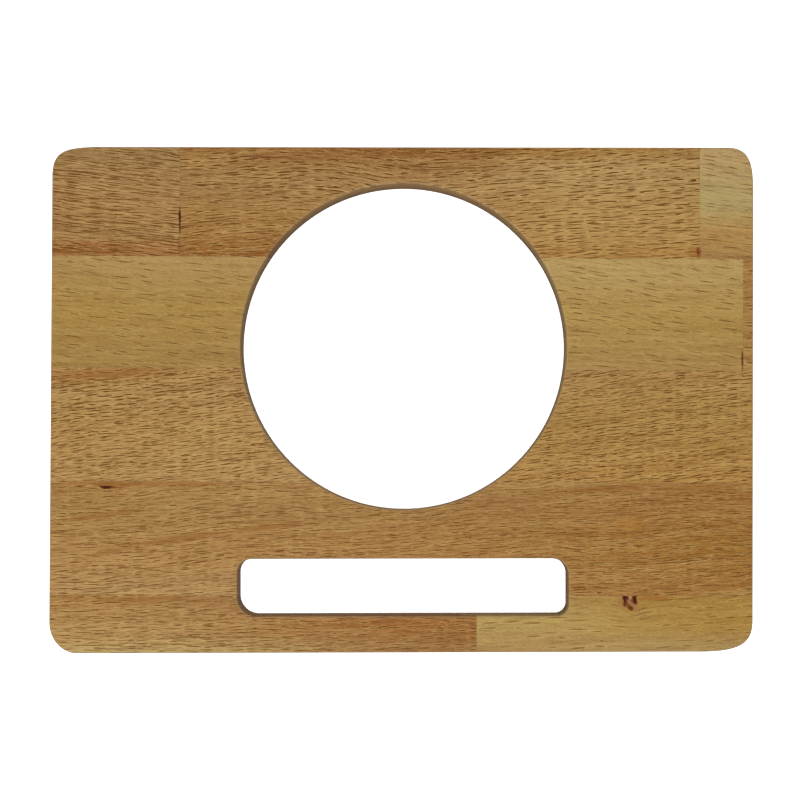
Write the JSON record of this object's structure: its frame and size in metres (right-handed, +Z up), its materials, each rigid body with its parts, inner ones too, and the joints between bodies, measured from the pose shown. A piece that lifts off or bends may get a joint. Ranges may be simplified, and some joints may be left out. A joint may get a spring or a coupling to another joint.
{
  "type": "transfer board",
  "caption": "Flat rounded beech transfer board with a large round opening near one long side and a long hand slot along the other.",
  "frame": {"origin": "centre of the underside, on the surface that the board lies on", "axes": "+X along the board's length, +Y across it from the hand slot towards the round opening, +Z up out of the top face"},
  "size_m": [0.4514, 0.324, 0.018],
  "materials": {
    "beech_tan": "satin",
    "beech_pale": "satin",
    "beech_red": "satin",
    "wood_glue": "satin"
  },
  "bodies": {
    "root": {"stave_back_left": "beech_tan", "stave_back_middle": "beech_tan", "stave_back_right": "beech_pale", "stave_second_left": "beech_pale", "stave_second_right": "beech_pale", "stave_second_end": "beech_red", "stave_third_left": "beech_tan", "stave_third_right": "beech_tan", "stave_fourth": "beech_red", "stave_front_left": "beech_red", "stave_front_right": "beech_pale", "glue_edge_back_left": "wood_glue", "glue_edge_back_right": "wood_glue", "glue_edge_second_left": "wood_glue", "glue_edge_second_right": "wood_glue", "glue_edge_third_left": "wood_glue", "glue_edge_third_right": "wood_glue", "glue_edge_front_left": "wood_glue", "glue_edge_front_right": "wood_glue", "glue_finger_back_left": "wood_glue", "glue_finger_back_right": "wood_glue", "glue_finger_second": "wood_glue", "glue_finger_front": "wood_glue"}
  },
  "joints": []
}
